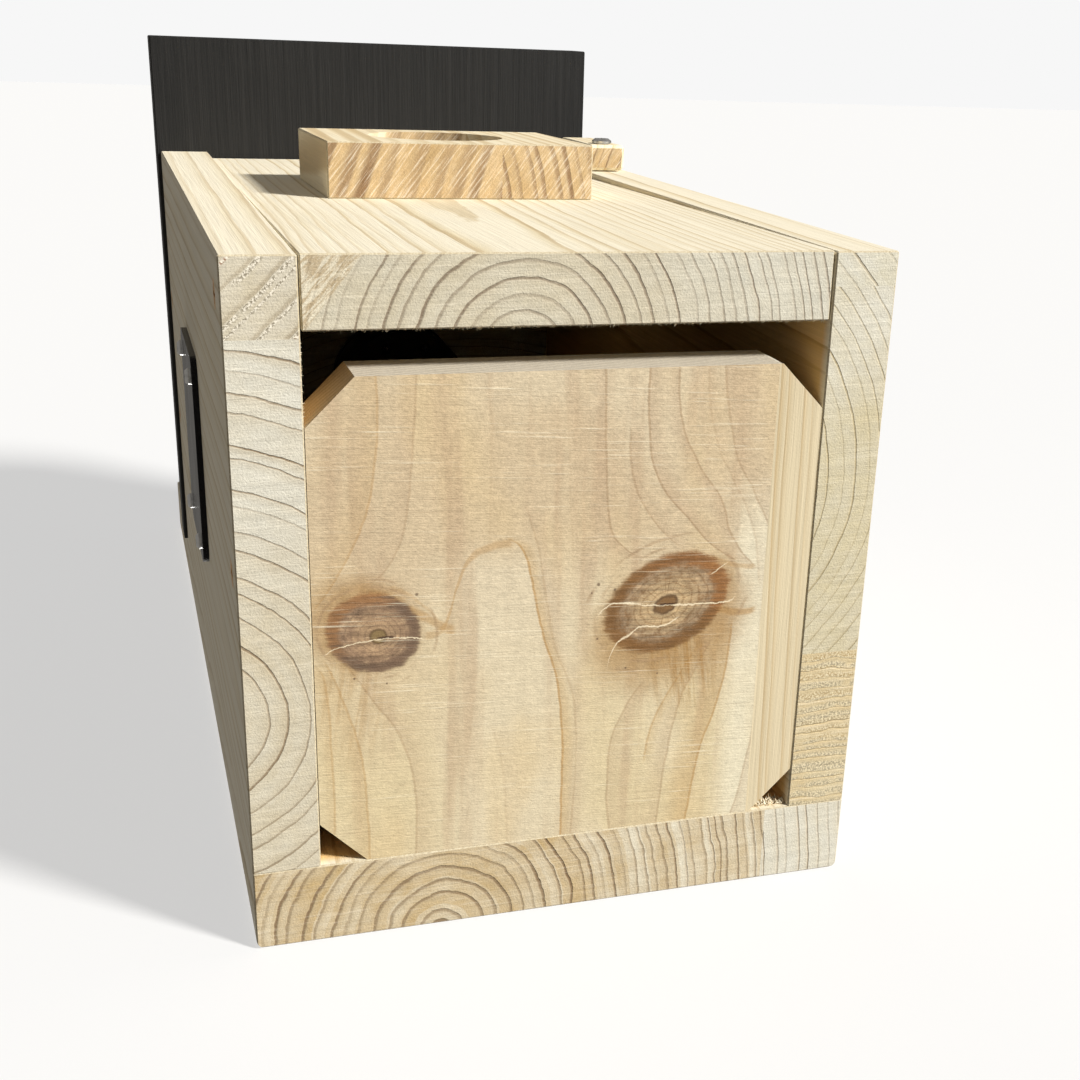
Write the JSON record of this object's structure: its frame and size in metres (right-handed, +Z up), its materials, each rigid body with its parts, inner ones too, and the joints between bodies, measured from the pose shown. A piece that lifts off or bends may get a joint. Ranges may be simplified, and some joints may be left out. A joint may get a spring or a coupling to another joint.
{
  "type": "birdhouse",
  "caption": "Wall-hung wooden nest box with a flat roof, a front that swings down on two pivots, a guarded round entrance and a small side window.",
  "frame": {"origin": "middle of the footprint, on the plane of the bottom ends of the boards", "axes": "+Z up along the boards, -Y out of the front with its entrance hole, +X to the viewer's right when looking at the front"},
  "size_m": [0.1883, 0.24, 0.4],
  "materials": {
    "sides": "sawn and planed, unfinished pale softwood",
    "back": "sawn and planed, unfinished pale softwood",
    "roof": "black stain, satin",
    "ceiling": "unfinished softwood",
    "floor": "unfinished knotty softwood",
    "door": "planed, unfinished pale softwood",
    "entrance_block": "planed, unfinished softwood",
    "turn_button": "planed, unfinished softwood",
    "pane": "smoked clear acrylic, gloss",
    "yellow_screws": "yellow-passivated steel",
    "bright_screws": "bright steel",
    "camera_plastic": "black moulded plastic",
    "lens_ring": "black, gloss",
    "lens": "coated glass",
    "circuit_board": "solder mask"
  },
  "bodies": {
    "box": {"left_side_front_strip": "sides", "left_side_board": "sides", "right_side_front_strip": "sides", "right_side_board": "sides", "right_side_rear_strip": "sides", "back_board": "back", "back_strip": "back", "roof_board": "roof", "ceiling_board": "ceiling", "floor_board": "floor", "floor_strip": "floor", "window_pane": "pane", "pivot_screws": "yellow_screws", "floor_screws": "yellow_screws", "ceiling_screws": "yellow_screws", "back_screws": "yellow_screws", "roof_screws": "yellow_screws", "turn_button_screw": "bright_screws", "window_screws": "bright_screws", "camera_screws": "bright_screws", "camera_base": "camera_plastic", "camera_housing": "camera_plastic", "camera_cable_inlet": "camera_plastic", "camera_lens_ring": "lens_ring", "camera_lens": "lens", "camera_circuit_board": "circuit_board"},
    "front_door": {"front_door_panel": "door", "entrance_block_left": "entrance_block", "entrance_block_right": "entrance_block", "block_screws": "yellow_screws"},
    "turn_button": {"turn_button": "turn_button"}
  },
  "joints": [
    {"name": "door_swing", "type": "hinge", "parent": "box", "child": "front_door", "pos_m": [0, -0.063, 0.017], "axis": [1, 0, 0], "range_deg": [0, 90]},
    {"name": "button_turn", "type": "hinge", "parent": "box", "child": "turn_button", "pos_m": [0.081, -0.0805, 0.24], "axis": [0, -1, 0], "continuous": true}
  ]
}
